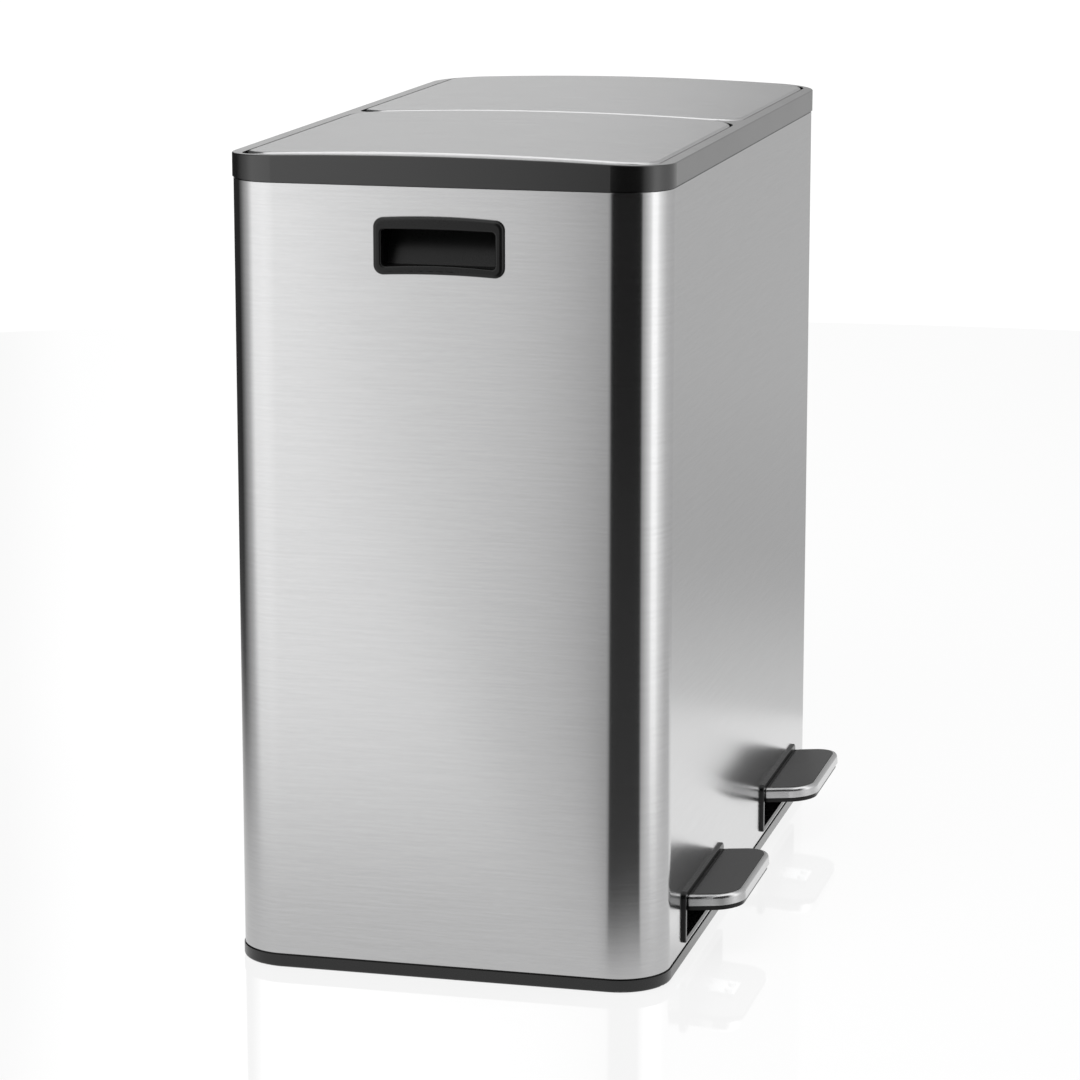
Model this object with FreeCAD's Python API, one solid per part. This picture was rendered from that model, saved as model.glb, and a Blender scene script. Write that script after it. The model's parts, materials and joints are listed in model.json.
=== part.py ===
"""Pedal bin with two compartments: a brushed steel body on a plastic base, a plastic top rim,
two crowned steel lids, and two pedals that lift them through levers and push rods.

Units are millimetres. X runs along the length, the pedals face -Y, Z points up. The origin is
on the floor, below the middle of the whole object, pedals included. "Left" is the -X side.
Each piece is made for the left side; the right side is its mirror image in the YZ plane.
"""

import FreeCAD
import Part
import math
import os

Vector = FreeCAD.Vector

# --- steel body -----------------------------------------------------------------------------------
SHELL_LENGTH = 638.0
SHELL_WIDTH = 340.0
SHELL_HEIGHT = 600.0
SHELL_CORNER = 40.0
SHEET = 0.7

# --- base and feet --------------------------------------------------------------------------------
FOOT_DROP = 1.0
FOOT_THICKNESS = 2.2
FOOT_RADIUS = 11.0
FOOT_INSET = 46.0
BASE_BAND = 9.8
BASE_PROUD = 0.8
BASE_ROUNDING = 2.0
BASE_SHADOW_GAP = 1.2
BASE_FLOOR = 2.5
BASE_WALL = 2.5
BASE_LIP_HEIGHT = 18.0

# --- top rim --------------------------------------------------------------------------------------
RIM_SHADOW_GAP = 1.1
RIM_PROUD = 0.9
RIM_HEIGHT = 17.9
RIM_CROWN = 3.8
RIM_EDGE = 1.0
RIM_WALL = 2.5
RIM_TOP_WALL = 3.0
RIM_SKIRT = 14.0
FRONT_STRIP = 8.5
BACK_STRIP = 11.0
END_STRIP = 8.0
DIVIDER = 3.0
POCKET_FRONT_CORNER = 24.0
POCKET_BACK_CORNER = 17.0
LEDGE_THICKNESS = 2.5
LID_TO_LEDGE = 2.5
THROAT_FRONT = 18.0
THROAT_END = 30.0
THROAT_MIDDLE = 10.0
THROAT_BACK = 58.0
THROAT_CORNER = 22.0
SHELF_CLEARANCE = 0.8

# --- lids -----------------------------------------------------------------------------------------
LID_GAP = 1.5
LID_BACK_GAP = 2.0
LID_FRONT_CORNER = 28.0
LID_BACK_CORNER = 24.0
LID_STANDS_ABOVE_RIM = 1.4
LID_CROWN = 4.2
LID_EDGE = 2.5
LID_SHEET = 0.6
LID_DEPTH = 9.4
SKIN_TO_LINER_EDGE = 1.4
LINER_EDGE_INSET = 0.4
LINER_WALL = 2.0
LINER_TRAY_HEIGHT = 6.0
BUMPER_RADIUS = 3.0
BUMPER_FROM_SIDE = 40.0

# --- lid hinges -----------------------------------------------------------------------------------
HINGE_FROM_BACK_EDGE = 10.0
HINGE_BELOW_EDGE = 5.0
HINGE_SPREAD = 105.0
HINGE_PIN_RADIUS = 1.75
KNUCKLE_RADIUS = 4.0
KNUCKLE_WIDTH = 6.0
LUG_WIDTH = 8.0
LUG_SIDE_GAP = 0.4

# --- lid cranks and push rods ---------------------------------------------------------------------
CRANK_RADIUS = 25.0
CRANK_REST_ANGLE = 40.0
CRANK_THICKNESS = 3.0
CRANK_EYE = 5.0
CRANK_PIN_RADIUS = 2.0
CRANK_FLANGE_WIDTH = 16.0
CRANK_FLANGE_LENGTH = 20.0
CRANK_FLANGE_THICKNESS = 2.0
CRANK_FLANGE_FROM_AXIS = 9.0
HEAD_CHEEK = 4.0
HEAD_FORK_GAP = 0.6
HEAD_SLOT_RISE = 0.75
HEAD_SLOT_END_GAP = 0.5
HEAD_SLOT_WALL = 2.5
HEAD_BRIDGE = 6.0
ROD_RADIUS = 3.0
ROD_FOOT_RADIUS = 6.0
ROD_FOOT_HEIGHT = 12.0
ROD_COVER_WIDTH = 28.0
ROD_COVER_WALL = 2.0
ROD_COVER_TOP_GAP = 23.0
GUIDE_RADIUS = 6.0
GUIDE_FLANGE_RADIUS = 8.0
GUIDE_FLANGE = 1.2

# --- pedals, levers and brackets ------------------------------------------------------------------
PEDAL_REACH = 45.0
PEDAL_WIDTH = 136.0
PEDAL_CORNER = 22.0
PEDAL_BAND = 8.4
PEDAL_EDGE = 3.0
PEDAL_SHEET = 1.0
PEDAL_BORDER = 3.5
PEDAL_FROM_WALL = 5.0
PEDAL_UNDERSIDE = 4.0
PEDAL_UNDERSIDE_INSET = 2.0
PEDAL_REST_TILT = 5.0
PAD_GAP = 0.2
PAD_STANDS_PROUD = 0.3
PAD_FROM_WALL = 10.0
STRIP_GROOVE_WIDTH = 0.6
STRIP_GROOVE_DEPTH = 0.5
NECK_WIDTH = 132.0
NECK_DROP = 3.0
NECK_INSIDE = 14.0
AXLE_BEHIND_WALL = 100.0
AXLE_HEIGHT = 24.0
AXLE_RADIUS = 4.0
LEVER_TOP_ABOVE_AXLE = 8.2
LEVER_WIDTH = 30.0
LEVER_SHEET = 2.0
LEVER_DEPTH = 13.2
LEVER_TIP_DEPTH = 4.0
LEVER_PAST_ROD = 9.0
LEVER_FRONT_MARGIN = 16.0
EAR_SHEET = 2.0
EAR_GAP = 1.2
EAR_RADIUS = 8.0
BRACKET_LENGTH = 44.0
BRACKET_FLANGE = 13.0
CLIP_THICKNESS = 1.0
CLIP_RADIUS = 7.0
RIVET_RADIUS = 1.75
RIVET_HEAD_RADIUS = 3.5
RIVET_HEAD = 1.0
SCREW_RADIUS = 1.5
SCREW_HEAD_RADIUS = 3.0
SCREW_HEAD = 1.6

# --- pedal bezels ---------------------------------------------------------------------------------
BEZEL_SIDE_GAP = 2.0
BEZEL_BORDER = 4.5
BEZEL_OPENING_HEIGHT = 32.5
BEZEL_ABOVE_SHELL_EDGE = 4.0
BEZEL_PROUD = 2.5
BEZEL_CORNER = 5.0
BEZEL_EDGE = 1.0
BEZEL_COLLAR = 10.0
BEZEL_COLLAR_WALL = 1.8

# --- end handles ----------------------------------------------------------------------------------
HANDLE_WIDTH = 100.5
HANDLE_HEIGHT = 43.0
HANDLE_TOP_ARCH = 1.5
HANDLE_BOTTOM_ARCH = 1.2
HANDLE_BELOW_SHELL_TOP = 23.0
HANDLE_CORNER = 7.5
HANDLE_PROUD = 4.0
HANDLE_EDGE = 3.2
HANDLE_INNER_EDGE = 1.5
HANDLE_FLANGE_LAP = 2.5
HANDLE_SIDE_BORDER = 6.5
HANDLE_BOTTOM_BORDER = 6.7
HANDLE_TOP_BORDER = 8.7
HANDLE_OPENING_CORNER = 3.0
HANDLE_OPENING_TOP_ARCH = 0.6
HANDLE_OPENING_BOTTOM_ARCH = 1.6
CUP_WALL = 2.0
CUP_DEPTH_LOW = 13.0
CUP_DEPTH_HIGH = 26.0

# --- floor panel over the levers ------------------------------------------------------------------
FLOOR_HEIGHT = 62.0
FLOOR_THICKNESS = 2.5
FLOOR_UPSTAND = 10.0
FLOOR_UPSTAND_WALL = 2.0
FLOOR_RIB_DEPTH = 8.0
FLOOR_RIB_WALL = 2.0
POST_RADIUS = 9.0
POST_INSET = 28.0
POST_SCREW_RADIUS = 2.0
POST_SCREW_HEAD_RADIUS = 4.0
POST_SCREW_HEAD = 2.2
POST_SCREW_LENGTH = 16.0
POST_BOSS = 3.0

# --- buckets --------------------------------------------------------------------------------------
BUCKET_SIDE_GAP = 1.5
BUCKET_TOP_BELOW_LID = 11.0
BUCKET_FLANGE = 6.0
BUCKET_FLANGE_THICKNESS = 2.0
BUCKET_FLANGE_LIP = 9.0
BUCKET_WALL = 1.8
BUCKET_FLOOR = 2.2
BUCKET_CORNER = 20.0
BUCKET_TAPER = 12.0
GRIP_WIDTH = 90.0
GRIP_HEIGHT = 24.0
GRIP_BELOW_FLANGE = 16.0

# --- clearances -----------------------------------------------------------------------------------
FIT_GAP = 0.15
MOVING_GAP = 0.3
RUNNING_GAP = 0.05
FIXED_PIN_GAP = 0.02
CUT_PAST = 5.0

# --- heights worked out from the sizes above ------------------------------------------------------
base_bottom = FOOT_DROP
base_floor_top = base_bottom + BASE_FLOOR
base_band_top = base_bottom + BASE_BAND
shell_bottom = base_band_top + BASE_SHADOW_GAP
shell_top = shell_bottom + SHELL_HEIGHT
rim_bottom = shell_top + RIM_SHADOW_GAP
rim_edge_top = rim_bottom + RIM_HEIGHT
lid_edge_top = rim_edge_top + LID_STANDS_ABOVE_RIM
liner_bottom = lid_edge_top - LID_DEPTH
skin_bottom = liner_bottom + SKIN_TO_LINER_EDGE
ledge_top = liner_bottom - LID_TO_LEDGE
rim_skirt_bottom = shell_top - RIM_SKIRT
floor_top = FLOOR_HEIGHT + FLOOR_THICKNESS

# --- places along Y -------------------------------------------------------------------------------
centre_y = (PEDAL_REACH - RIM_PROUD) / 2
front_y = centre_y - SHELL_WIDTH / 2
back_y = centre_y + SHELL_WIDTH / 2
lid_back_y = back_y - BACK_STRIP - LID_BACK_GAP
hinge_y = lid_back_y - HINGE_FROM_BACK_EDGE
hinge_z = lid_edge_top - HINGE_BELOW_EDGE
throat_back_y = back_y - THROAT_BACK
axle_y = front_y + AXLE_BEHIND_WALL

# --- hinge sweep, shelf under it, crank pin and rod -----------------------------------------------
lid_sweep = math.hypot(HINGE_FROM_BACK_EDGE, HINGE_BELOW_EDGE)
shelf_top = hinge_z - lid_sweep - SHELF_CLEARANCE
crank_reach = CRANK_RADIUS * math.cos(math.radians(CRANK_REST_ANGLE))
crank_drop = CRANK_RADIUS * math.sin(math.radians(CRANK_REST_ANGLE))
pin_y = hinge_y - crank_reach
pin_z = hinge_z - crank_drop
rod_y = hinge_y - (CRANK_RADIUS + crank_reach) / 2

# --- places along X (left side) -------------------------------------------------------------------
end_x = -SHELL_LENGTH / 2
drive_x = -SHELL_LENGTH / 4
pocket_x = (end_x + END_STRIP, -DIVIDER / 2)
pocket_y = (front_y + FRONT_STRIP, back_y - BACK_STRIP)
lid_x = (pocket_x[0] + LID_GAP, pocket_x[1] - LID_GAP)
lid_y = (pocket_y[0] + LID_GAP, lid_back_y)
lid_middle_x = (lid_x[0] + lid_x[1]) / 2
throat_x = (end_x + THROAT_END, -THROAT_MIDDLE)
throat_y = (front_y + THROAT_FRONT, throat_back_y)
hinge_places = (lid_middle_x - HINGE_SPREAD, lid_middle_x + HINGE_SPREAD)


# --- small tools ----------------------------------------------------------------------------------
def box(x0, x1, y0, y1, z0, z1):
    """A block between two corners."""
    return Part.makeBox(x1 - x0, y1 - y0, z1 - z0, Vector(x0, y0, z0))


def rod_x(x0, x1, y, z, radius):
    """A round bar along X."""
    return Part.makeCylinder(radius, x1 - x0, Vector(x0, y, z), Vector(1, 0, 0))


def rod_z(x, y, z0, z1, radius):
    """A round bar along Z."""
    return Part.makeCylinder(radius, z1 - z0, Vector(x, y, z0), Vector(0, 0, 1))


def rounded_wire(corners):
    """A closed wire through (point, radius) corners, each rounded by its own tangent arc."""
    count = len(corners)
    starts = []
    ends = []
    middles = []
    for index, (point, radius) in enumerate(corners):
        before = corners[index - 1][0]
        after = corners[(index + 1) % count][0]
        to_before = (before - point).normalize()
        to_after = (after - point).normalize()
        half = to_before.getAngle(to_after) / 2
        run = radius / math.tan(half)
        centre_way = (to_before + to_after).normalize()
        centre = point + centre_way * (radius / math.sin(half))
        starts.append(point + to_before * run)
        ends.append(point + to_after * run)
        middles.append(centre - centre_way * radius)
    edges = []
    for index in range(count):
        following = (index + 1) % count
        if corners[index][1] > 0:
            edges.append(Part.Arc(starts[index], middles[index], ends[index]).toShape())
        if ends[index].distanceToPoint(starts[following]) > 1e-6:
            edges.append(Part.makeLine(ends[index], starts[following]))
    return Part.Wire(edges)


def rectangle_wire(x0, x1, y0, y1, z, radius):
    """A rounded rectangle in the plane at height z."""
    points = [Vector(x0, y0, z), Vector(x1, y0, z), Vector(x1, y1, z), Vector(x0, y1, z)]
    return rounded_wire([(point, radius) for point in points])


def prism(x_range, y_range, z0, z1, radius, inset=0.0):
    """A rounded rectangle in plan, carried from z0 to z1 and drawn in by inset all round."""
    wire = rectangle_wire(x_range[0] + inset, x_range[1] - inset, y_range[0] + inset,
                          y_range[1] - inset, z0, radius - inset)
    return Part.Face(wire).extrude(Vector(0, 0, z1 - z0))


def lidded_prism(x_range, y_range, z0, z1, front_corner, back_corner, inset=0.0):
    """As prism, with one corner radius at the front and another at the back."""
    x0, x1 = x_range[0] + inset, x_range[1] - inset
    y0, y1 = y_range[0] + inset, y_range[1] - inset
    front_radius = front_corner - inset
    back_radius = back_corner - inset
    corners = [(Vector(x0, y0, z0), front_radius), (Vector(x1, y0, z0), front_radius),
               (Vector(x1, y1, z0), back_radius), (Vector(x0, y1, z0), back_radius)]
    return Part.Face(rounded_wire(corners)).extrude(Vector(0, 0, z1 - z0))


def pocket_prism(inset, z0, z1):
    """The plan of a lid pocket drawn in by inset, carried from z0 to z1."""
    return lidded_prism(pocket_x, pocket_y, z0, z1, POCKET_FRONT_CORNER, POCKET_BACK_CORNER, inset)


def lid_prism(inset, z0, z1):
    """The plan of a lid drawn in by inset, carried from z0 to z1."""
    return lidded_prism(lid_x, lid_y, z0, z1, LID_FRONT_CORNER, LID_BACK_CORNER, inset)


def body_prism(inset, z0, z1):
    """The plan of the steel body drawn in by inset, carried from z0 to z1."""
    return prism((end_x, -end_x), (front_y, back_y), z0, z1, SHELL_CORNER, inset)


def side_profile(points, x0, x1):
    """A closed outline of (y, z) points, carried along X."""
    wire = Part.makePolygon([Vector(x0, y, z) for y, z in points + points[:1]])
    return Part.Face(wire).extrude(Vector(x1 - x0, 0, 0))


def under_crown(y_range, edge_z, rise):
    """A long round bar along X: its top passes through both edges and rises between them."""
    half = (y_range[1] - y_range[0]) / 2
    radius = (half * half + rise * rise) / (2 * rise)
    middle = (y_range[0] + y_range[1]) / 2
    reach = SHELL_LENGTH
    return rod_x(-reach, reach, middle, edge_z + rise - radius, radius)


def fillet_top(shape, radius):
    """Rounds the edge all round the highest face."""
    top = max(shape.Faces, key=lambda face: face.CenterOfMass.z)
    return shape.makeFillet(radius, top.OuterWire.Edges)


def mirrored(shape):
    """The right side's copy of a left side piece."""
    return shape.mirror(Vector(0, 0, 0), Vector(1, 0, 0))


def both_sides(shapes):
    """Left side solids and their mirror images, as one group."""
    return Part.makeCompound(shapes + [mirrored(shape) for shape in shapes])


def tilted(shape):
    """Turns a piece drawn with the pedal level to the pedal's rest pose, front end up."""
    turned = shape.copy()
    turned.rotate(Vector(drive_x, axle_y, AXLE_HEIGHT), Vector(1, 0, 0), -PEDAL_REST_TILT)
    return turned


def save(shape, name):
    """Writes one piece as parts/NAME.step."""
    shape.exportStep(os.path.join("parts", name + ".step"))


def save_pair(shape, name):
    """Writes a left side piece and its mirror image."""
    save(shape, name + "_left")
    save(mirrored(shape), name + "_right")


# --- body, base and feet --------------------------------------------------------------------------
bezel_bottom = shell_bottom + BEZEL_ABOVE_SHELL_EDGE
bezel_opening_half = PEDAL_WIDTH / 2 + BEZEL_SIDE_GAP
bezel_opening_x = (drive_x - bezel_opening_half, drive_x + bezel_opening_half)
bezel_opening_z = (bezel_bottom + BEZEL_BORDER, bezel_bottom + BEZEL_BORDER + BEZEL_OPENING_HEIGHT)
handle_top = shell_top - HANDLE_BELOW_SHELL_TOP
handle_bottom = handle_top - HANDLE_HEIGHT


def front_opening(grow, y0, y1):
    """The pedal opening grown by grow all round, as a rounded block from y0 to y1."""
    x0 = bezel_opening_x[0] - grow
    x1 = bezel_opening_x[1] + grow
    z0 = bezel_opening_z[0] - grow
    z1 = bezel_opening_z[1] + grow
    radius = max(BEZEL_CORNER - BEZEL_BORDER + grow, BEZEL_EDGE)
    points = [Vector(x0, y0, z0), Vector(x1, y0, z0), Vector(x1, y0, z1), Vector(x0, y0, z1)]
    wire = rounded_wire([(point, radius) for point in points])
    return Part.Face(wire).extrude(Vector(0, y1 - y0, 0))


def arched_outline(x, half, low, high, radius, low_arch, high_arch):
    """A face in the plane at x: a rounded rectangle whose low and high edges arch upwards."""
    swing = half - radius
    y = centre_y

    def at(dy, z):
        return Vector(x, y + dy, z)

    diagonal = radius * (1 - math.sqrt(0.5))
    edges = [
        Part.Arc(at(-swing, high), at(0, high + high_arch), at(swing, high)),
        Part.Arc(at(swing, high), at(half - diagonal, high - diagonal), at(half, high - radius)),
        Part.LineSegment(at(half, high - radius), at(half, low + radius)),
        Part.Arc(at(half, low + radius), at(half - diagonal, low + diagonal), at(swing, low)),
        Part.Arc(at(swing, low), at(0, low + low_arch), at(-swing, low)),
        Part.Arc(at(-swing, low), at(-half + diagonal, low + diagonal), at(-half, low + radius)),
        Part.LineSegment(at(-half, low + radius), at(-half, high - radius)),
        Part.Arc(at(-half, high - radius), at(-half + diagonal, high - diagonal), at(-swing, high)),
    ]
    return Part.Face(Part.Wire([edge.toShape() for edge in edges]))


def handle_outline(x, grow):
    """The handle's flange outline, grown by grow all round."""
    return arched_outline(x, HANDLE_WIDTH / 2 + grow, handle_bottom - grow, handle_top + grow,
                          HANDLE_CORNER + grow, HANDLE_BOTTOM_ARCH, HANDLE_TOP_ARCH)


def make_shell():
    """The folded steel body: a rounded tube with a pedal slot and a handle hole on each side."""
    shell = body_prism(0, shell_bottom, shell_top).cut(
        body_prism(SHEET, shell_bottom - CUT_PAST, shell_top + CUT_PAST))
    slot = front_opening(BEZEL_COLLAR_WALL + FIT_GAP, front_y - CUT_PAST, front_y + CUT_PAST)
    hole = handle_outline(end_x - CUT_PAST, FIT_GAP - HANDLE_FLANGE_LAP)
    hole = hole.extrude(Vector(2 * CUT_PAST, 0, 0))
    for cutter in (slot, hole):
        shell = shell.cut(cutter).cut(mirrored(cutter))
    return shell


def foot_places():
    """Plan positions of the left side's feet: one near each corner."""
    x = end_x + FOOT_INSET
    return [(x, front_y + FOOT_INSET), (x, back_y - FOOT_INSET)]


def post_places():
    """Plan positions of the left side's floor posts."""
    x = end_x + POST_INSET
    return [(x, front_y + POST_INSET), (x, back_y - POST_INSET)]


def middle_post_places():
    """Plan positions of the two posts between the levers."""
    return [(0, front_y + POST_INSET), (0, back_y - POST_INSET)]


def rivet_places():
    """Plan positions of the rivets that hold the left lever bracket to the base."""
    across = LEVER_WIDTH / 2 + EAR_GAP + EAR_SHEET + BRACKET_FLANGE / 2
    along = BRACKET_LENGTH / 2 - 2 * RIVET_HEAD_RADIUS
    return [(drive_x + sx * across, axle_y + sy * along) for sx in (-1, 1) for sy in (-1, 1)]


def make_base():
    """The moulded base: outer band, lip inside the steel, floor, bosses and foot recesses."""
    lip_top = base_band_top + BASE_LIP_HEIGHT
    band = body_prism(-BASE_PROUD, base_bottom, base_band_top)
    lowest = min(band.Faces, key=lambda face: face.CenterOfMass.z)
    band = band.makeFillet(BASE_ROUNDING, lowest.OuterWire.Edges)
    lip_inset = SHEET + FIT_GAP
    base = band.fuse(body_prism(lip_inset, base_band_top - BASE_WALL, lip_top))
    base = base.cut(body_prism(lip_inset + BASE_WALL, base_floor_top, lip_top + CUT_PAST))
    window = front_opening(BEZEL_COLLAR_WALL + MOVING_GAP, front_y, front_y + 2 * BEZEL_COLLAR)
    window = window.fuse(window.translated(Vector(0, 0, BEZEL_OPENING_HEIGHT / 2)))
    base = base.cut(window).cut(mirrored(window))
    bosses = [rod_z(x, y, base_floor_top - BASE_FLOOR / 2, base_floor_top + POST_BOSS, POST_RADIUS)
              for x, y in post_places() + middle_post_places()]
    base = base.fuse(bosses + [mirrored(boss) for boss in bosses[:2]])
    cutters = []
    for x, y in post_places() + middle_post_places():
        cutters.append(rod_z(x, y, 0, base_floor_top + 2 * POST_BOSS, POST_SCREW_RADIUS + FIT_GAP))
        cutters.append(rod_z(x, y, 0, post_head_top(), POST_SCREW_HEAD_RADIUS + FIT_GAP))
    for x, y in foot_places():
        recess_top = FOOT_THICKNESS
        cutters.append(rod_z(x, y, 0, recess_top, FOOT_RADIUS + FIT_GAP))
    for x, y in rivet_places():
        cutters.append(rod_z(x, y, 0, base_floor_top + CUT_PAST / 2, RIVET_RADIUS + FIXED_PIN_GAP))
        cutters.append(rod_z(x, y, 0, base_bottom + RIVET_HEAD, RIVET_HEAD_RADIUS + FIT_GAP))
    for cutter in cutters:
        base = base.cut(cutter).cut(mirrored(cutter))
    return base.removeSplitter()


def make_feet():
    """Flat rubber pads set into the base."""
    return both_sides([rod_z(x, y, 0, FOOT_THICKNESS, FOOT_RADIUS) for x, y in foot_places()])


# --- top rim --------------------------------------------------------------------------------------
def make_lug(x):
    """One hinge lug: a boss on the hinge axis and a neck that leans forward to the shelf."""
    x0 = x - LUG_WIDTH / 2
    x1 = x + LUG_WIDTH / 2
    foot_z = shelf_top - LEDGE_THICKNESS / 2
    neck_low = lid_sweep + SHELF_CLEARANCE
    neck = side_profile([
        (hinge_y - KNUCKLE_RADIUS, hinge_z),
        (hinge_y - neck_low, hinge_z - neck_low),
        (hinge_y - neck_low, foot_z),
        (hinge_y - KNUCKLE_RADIUS, foot_z),
        (hinge_y - KNUCKLE_RADIUS, hinge_z - neck_low),
        (hinge_y - KNUCKLE_RADIUS / 2, hinge_z - KNUCKLE_RADIUS),
        (hinge_y, hinge_z),
    ], x0, x1)
    lug = neck.fuse(rod_x(x0, x1, hinge_y, hinge_z, KNUCKLE_RADIUS))
    bore = rod_x(x0 - CUT_PAST, x1 + CUT_PAST, hinge_y, hinge_z, HINGE_PIN_RADIUS + FIXED_PIN_GAP)
    return lug.cut(bore)


def rod_head_size():
    """Y range of the rod head, from the travel of the crank pin."""
    low = hinge_y - CRANK_RADIUS - CRANK_PIN_RADIUS - HEAD_SLOT_END_GAP
    high = pin_y + CRANK_PIN_RADIUS + HEAD_SLOT_END_GAP
    return low, high


def rod_head_half_width():
    """Half of the rod head's width along X."""
    return CRANK_THICKNESS / 2 + HEAD_FORK_GAP + HEAD_CHEEK


def make_rim():
    """The moulded top rim: crowned band, two lid pockets, two throats and the hinge shelf."""
    full_y = (front_y - RIM_PROUD, back_y + RIM_PROUD)
    band = body_prism(-RIM_PROUD, rim_bottom, rim_edge_top + 2 * RIM_CROWN)
    band = fillet_top(band.common(under_crown(full_y, rim_edge_top, RIM_CROWN)), RIM_EDGE)
    skirt_inset = SHEET + FIT_GAP
    block = band.fuse(body_prism(skirt_inset, rim_skirt_bottom, rim_bottom))
    hollow = body_prism(skirt_inset + RIM_WALL, rim_skirt_bottom - CUT_PAST, rim_edge_top - RIM_TOP_WALL)

    ledge_bottom = ledge_top - LEDGE_THICKNESS
    shelf_bottom = shelf_top - LEDGE_THICKNESS
    well_y = (throat_back_y + RIM_WALL, pocket_y[1])
    above = rim_edge_top + 2 * RIM_CROWN
    throat_tub = prism(throat_x, throat_y, rim_skirt_bottom, ledge_top, THROAT_CORNER, -RIM_WALL)
    pocket_tub = pocket_prism(-RIM_WALL, ledge_bottom, above)
    well_tub = pocket_prism(-RIM_WALL, shelf_bottom, ledge_top).common(
        box(pocket_x[0] - RIM_WALL, pocket_x[1] + RIM_WALL, well_y[0] - RIM_WALL,
            well_y[1] + RIM_WALL, shelf_bottom, ledge_top))
    for tub in (throat_tub, pocket_tub, well_tub):
        hollow = hollow.cut(tub).cut(mirrored(tub))

    throat = prism(throat_x, throat_y, rim_skirt_bottom - CUT_PAST, above, THROAT_CORNER)
    pocket = pocket_prism(0, ledge_top, above)
    well = pocket_prism(0, shelf_top, above).common(
        box(pocket_x[0], pocket_x[1], well_y[0], well_y[1], shelf_top, above))
    head_y = rod_head_size()
    head_gap = HEAD_SLOT_WALL + HEAD_SLOT_END_GAP
    head_half = rod_head_half_width() + HEAD_SLOT_END_GAP
    rod_hole = box(drive_x - head_half, drive_x + head_half, head_y[0] - head_gap,
                   hinge_y - CRANK_FLANGE_FROM_AXIS, shelf_bottom - CUT_PAST, shelf_top + CUT_PAST)
    rim = block.cut(hollow)
    for cutter in (throat, pocket, well, rod_hole):
        rim = rim.cut(cutter).cut(mirrored(cutter))
    lugs = [make_lug(x) for x in hinge_places]
    rim = rim.fuse(lugs + [mirrored(lug) for lug in lugs])
    return rim.removeSplitter()


# --- lids -----------------------------------------------------------------------------------------
def lid_form(inset, bottom):
    """The lid's outer form drawn in by inset: rounded plan, crowned top and rolled edge."""
    blank = lid_prism(inset, bottom, lid_edge_top + 2 * LID_CROWN)
    blank = blank.common(under_crown(lid_y, lid_edge_top - inset, LID_CROWN))
    return fillet_top(blank, LID_EDGE - inset)


def make_lid_skin():
    """The pressed steel skin of a lid, open below."""
    return lid_form(0, skin_bottom).cut(lid_form(LID_SHEET, skin_bottom - CUT_PAST))


def crank_screw_places():
    """Plan positions of the screws that hold the crank's flange to the liner."""
    x = drive_x + CRANK_FLANGE_WIDTH - 2 * SCREW_HEAD_RADIUS
    y = hinge_y - CRANK_FLANGE_FROM_AXIS - CRANK_FLANGE_LENGTH / 2
    quarter = CRANK_FLANGE_LENGTH / 4
    return [(x, y - quarter), (x, y + quarter)]


def make_lid_liner():
    """The moulded liner that closes a lid from below, with its hinge knuckles."""
    edge = lid_prism(LINER_EDGE_INSET, liner_bottom, skin_bottom - FIT_GAP)
    tray_inset = LID_SHEET + FIT_GAP
    tray_floor = liner_bottom + LINER_WALL
    tray_top = liner_bottom + LINER_TRAY_HEIGHT
    tray = lid_prism(tray_inset, liner_bottom, tray_top)
    tray = tray.cut(lid_prism(tray_inset + LINER_WALL, tray_floor, tray_top + CUT_PAST))
    liner = edge.fuse(tray)
    notch_front = hinge_y - lid_sweep - 2 * SHELF_CLEARANCE
    for x in hinge_places:
        half = LUG_WIDTH / 2 + LUG_SIDE_GAP
        outer = half + KNUCKLE_WIDTH
        liner = liner.fuse(rod_x(x - outer, x + outer, hinge_y, hinge_z, KNUCKLE_RADIUS))
        liner = liner.cut(box(x - half, x + half, notch_front, lid_back_y,
                              liner_bottom - CUT_PAST, hinge_z + CUT_PAST))
        liner = liner.cut(rod_x(x - outer - CUT_PAST, x + outer + CUT_PAST, hinge_y, hinge_z,
                                HINGE_PIN_RADIUS + RUNNING_GAP))
    for x, y in crank_screw_places():
        liner = liner.cut(rod_z(x, y, liner_bottom - CUT_PAST, tray_top, SCREW_RADIUS + FIXED_PIN_GAP))
    crank_half = CRANK_THICKNESS / 2 + FIT_GAP
    crank_near = hinge_y - CRANK_FLANGE_FROM_AXIS
    liner = liner.cut(box(drive_x - crank_half, drive_x + crank_half,
                          crank_near - CRANK_FLANGE_LENGTH - FIT_GAP, crank_near + FIT_GAP,
                          liner_bottom - CUT_PAST, tray_top))
    return liner.removeSplitter()


def make_hinge_pins():
    """The pins of one lid, each through a lug and the knuckles beside it."""
    half = LUG_WIDTH / 2 + LUG_SIDE_GAP + KNUCKLE_WIDTH
    return Part.makeCompound([rod_x(x - half, x + half, hinge_y, hinge_z, HINGE_PIN_RADIUS)
                              for x in hinge_places])


def make_bumpers():
    """Two rubber pads under a lid's front edge."""
    y = (pocket_y[0] + throat_y[0]) / 2 + LID_GAP / 2
    low = ledge_top + MOVING_GAP
    return Part.makeCompound([rod_z(x, y, low, liner_bottom, BUMPER_RADIUS)
                              for x in (lid_x[0] + BUMPER_FROM_SIDE, lid_x[1] - BUMPER_FROM_SIDE)])


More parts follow.
